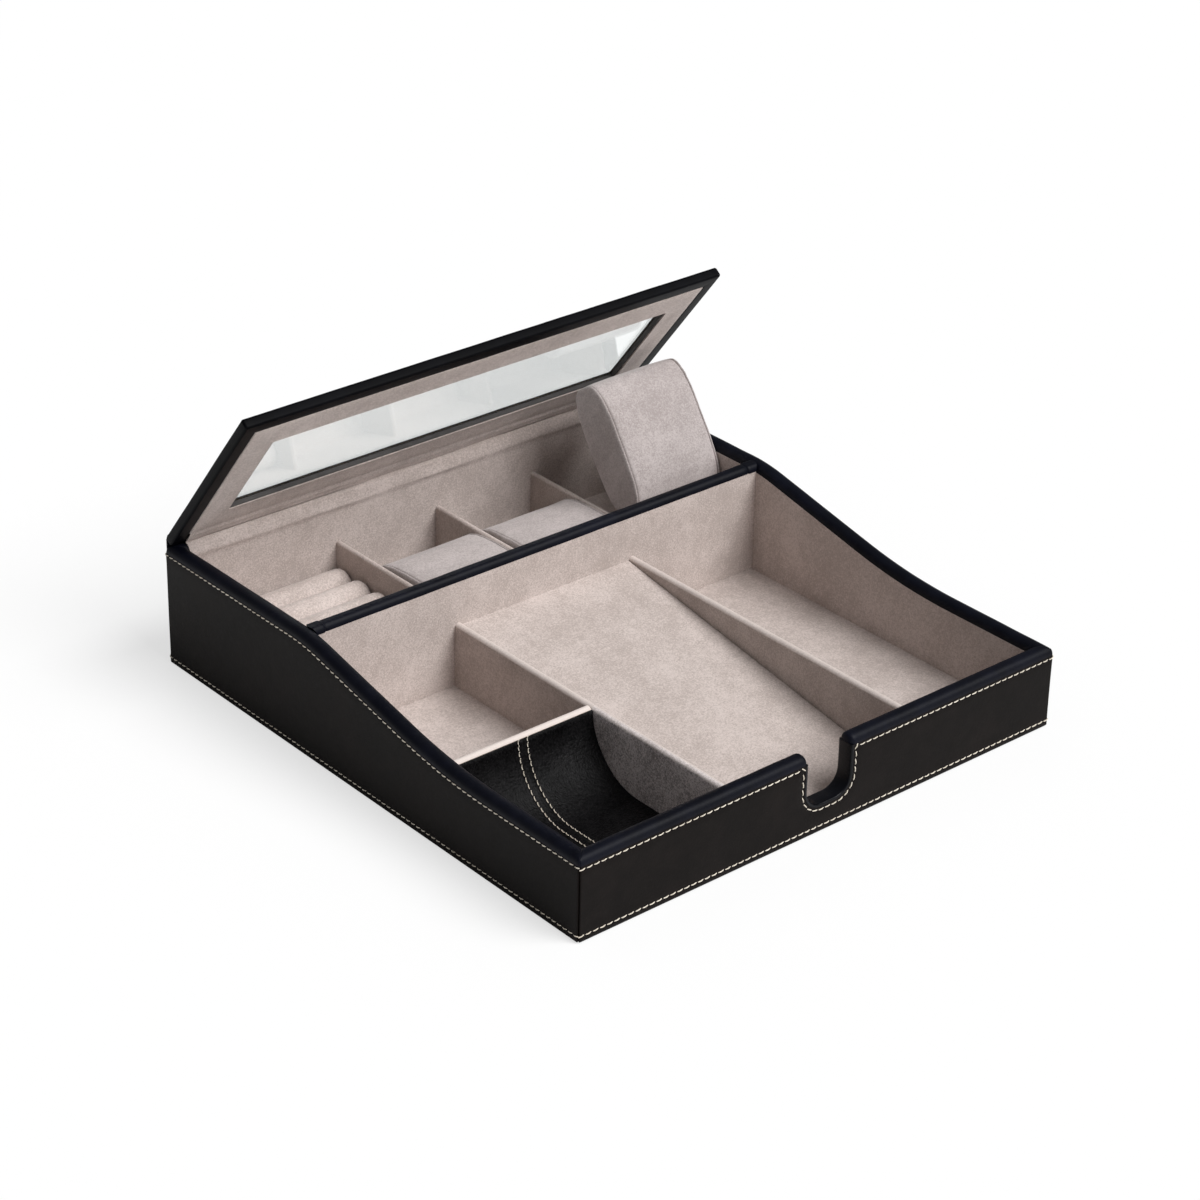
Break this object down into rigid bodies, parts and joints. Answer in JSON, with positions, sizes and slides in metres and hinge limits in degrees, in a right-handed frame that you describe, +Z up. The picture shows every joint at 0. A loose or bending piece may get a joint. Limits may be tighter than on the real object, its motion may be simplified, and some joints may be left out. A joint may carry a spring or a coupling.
{
  "type": "valet box",
  "caption": "Leather valet box with a sloped rest and a cable notch, open bays in front, and a ring cushion and watch pillows under a hinged glass-window lid.",
  "frame": {"origin": "centre of the footprint, on the table under the felt", "axes": "+X to the right seen from the low front, +Y from the low front to the hinged back, +Z up"},
  "size_m": [0.29, 0.308, 0.1556],
  "materials": {
    "black_leather": "smooth, semi-matt",
    "pebbled_leather": "pebble grain",
    "taupe_suede": "napped",
    "pillow_suede": "napped",
    "board": "raw fibreboard",
    "felt": "felt",
    "glass": "clear"
  },
  "bodies": {
    "tray": {"base_felt": "felt", "base_board": "board", "front_floor": "taupe_suede", "rear_floor_pad": "taupe_suede", "left_wall_board": "board", "right_wall_board": "board", "front_wall_board": "board", "back_wall_board": "board", "left_leather": "black_leather", "right_leather": "black_leather", "front_leather": "black_leather", "back_leather": "black_leather", "left_lining": "taupe_suede", "right_lining": "taupe_suede", "front_lining": "taupe_suede", "back_lining": "taupe_suede", "left_rim": "black_leather", "right_rim": "black_leather", "front_rim_left": "black_leather", "front_rim_right": "black_leather", "back_rim": "black_leather", "notch_binding": "black_leather", "divider_board": "board", "divider_front_lining": "taupe_suede", "divider_back_lining": "taupe_suede", "divider_rim": "black_leather", "ring_bay_wall": "taupe_suede", "left_watch_bay_wall": "taupe_suede", "right_watch_bay_wall": "taupe_suede", "ring_cushion_base": "taupe_suede", "ring_rolls": "taupe_suede", "rest_left_wall": "taupe_suede", "rest_right_wall": "taupe_suede", "rest_board": "board", "rest_cover": "taupe_suede", "rest_rear_block": "board", "rest_middle_block": "board", "coin_bay_wall": "taupe_suede", "coin_scoop": "pebbled_leather", "coin_scoop_block": "board", "hinge_cloth": "taupe_suede"},
    "lid": {"lid_front_rail": "board", "lid_back_rail": "board", "lid_left_rail": "board", "lid_right_rail": "board", "lid_leather": "black_leather", "lid_suede": "taupe_suede", "window_trim": "black_leather", "glass_pane": "glass"},
    "left_pillow": {"left_pillow": "pillow_suede"},
    "middle_pillow": {"middle_pillow": "pillow_suede"},
    "right_pillow": {"right_pillow": "pillow_suede"}
  },
  "joints": [
    {"name": "lid_hinge", "type": "hinge", "parent": "tray", "child": "lid", "pos_m": [0, 0.1497, 0.0645], "axis": [-1, 0, 0], "range_deg": [-52.3, 39.7], "deforming": ["hinge_cloth"]},
    {"name": "left_pillow_lift", "type": "slide", "parent": "tray", "child": "left_pillow", "axis": [0, 0, 1], "range_m": [0, 0.021]},
    {"name": "middle_pillow_lift", "type": "slide", "parent": "tray", "child": "middle_pillow", "axis": [0, 0, 1], "range_m": [0, 0.021]},
    {"name": "right_pillow_tilt", "type": "hinge", "parent": "tray", "child": "right_pillow", "pos_m": [0.1076, 0.054, 0.044], "axis": [1, 0, 0], "range_deg": [-56, 42.6]}
  ],
  "couplings": [
    {"joint": "right_pillow_tilt", "follows": "lid_hinge", "ratio": 1.07}
  ]
}
